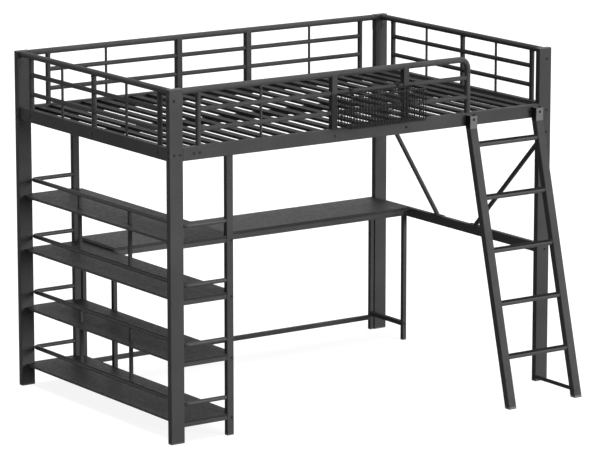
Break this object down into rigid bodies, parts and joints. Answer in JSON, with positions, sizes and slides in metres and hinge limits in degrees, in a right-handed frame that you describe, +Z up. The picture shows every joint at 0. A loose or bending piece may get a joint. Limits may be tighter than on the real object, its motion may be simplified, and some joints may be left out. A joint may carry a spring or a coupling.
{
  "type": "loft bed with desk",
  "caption": "Steel tube loft bed with slatted deck and guardrails, leaning ladder, open bookshelf under one end, desk along the back and a hanging wire basket.",
  "frame": {"origin": "middle of the footprint on the floor, the ladder's foot included", "axes": "+X along the bed from the bookshelf end to the ladder end, +Y from the front to the desk at the back, +Z up"},
  "size_m": [2.113, 1.6876, 1.588],
  "materials": {
    "frame_metal": "satin charcoal powder coat",
    "slat_metal": "satin charcoal powder coat",
    "bracket_metal": "satin grey powder coat",
    "basket_wire": "satin black powder coat",
    "board_laminate": "matt charcoal laminate with a faint lengthwise grain",
    "cap_plastic": "matt black plastic",
    "bolt_steel": "black oxide"
  },
  "bodies": {
    "frame": {"back_guard_bars": "frame_metal", "back_guard_top": "frame_metal", "back_guard_uprights": "frame_metal", "beam_gussets": "frame_metal", "centre_beam": "slat_metal", "desk_bolts": "bolt_steel", "desk_legs": "frame_metal", "desk_rails": "frame_metal", "desk_stretchers": "frame_metal", "desk_top": "board_laminate", "end_beam": "frame_metal", "end_braces": "frame_metal", "end_guard_bars": "frame_metal", "end_guard_tops": "frame_metal", "end_guard_uprights": "frame_metal", "end_rail_left": "frame_metal", "end_rail_right": "frame_metal", "frame_bolts": "bolt_steel", "front_guard_bars": "frame_metal", "front_guard_top": "frame_metal", "front_guard_uprights": "frame_metal", "guard_bolts": "bolt_steel", "guard_rods": "frame_metal", "guard_tabs": "frame_metal", "guard_tangs": "frame_metal", "joint_plates": "frame_metal", "ladder_bolts": "bolt_steel", "ladder_brackets": "bracket_metal", "ladder_feet": "cap_plastic", "ladder_rail_left": "frame_metal", "ladder_rail_right": "frame_metal", "ladder_rungs": "frame_metal", "ladder_tie": "frame_metal", "leg_feet": "cap_plastic", "lower_leg_back_left": "frame_metal", "lower_leg_back_right": "frame_metal", "lower_leg_front_left": "frame_metal", "lower_leg_front_right": "frame_metal", "post_caps": "cap_plastic", "post_sleeves": "frame_metal", "shelf_board_1": "board_laminate", "shelf_board_2": "board_laminate", "shelf_board_3": "board_laminate", "shelf_board_4": "board_laminate", "shelf_bolts": "bolt_steel", "shelf_guards": "frame_metal", "shelf_rails": "frame_metal", "shelf_side_rails": "frame_metal", "shelf_spacer_rods": "frame_metal", "shelf_straps": "frame_metal", "shelf_uprights": "frame_metal", "side_rail_back": "frame_metal", "side_rail_front": "frame_metal", "slat_ledges": "slat_metal", "slats": "slat_metal", "tube_plugs": "frame_metal", "upper_posts": "frame_metal"},
    "basket": {"basket_mesh": "basket_wire", "basket_rim": "basket_wire", "basket_hooks": "basket_wire"}
  },
  "joints": [
    {"name": "basket_lift", "type": "slide", "parent": "frame", "child": "basket", "axis": [0, 0, 1], "range_m": [0, 0.045]}
  ]
}
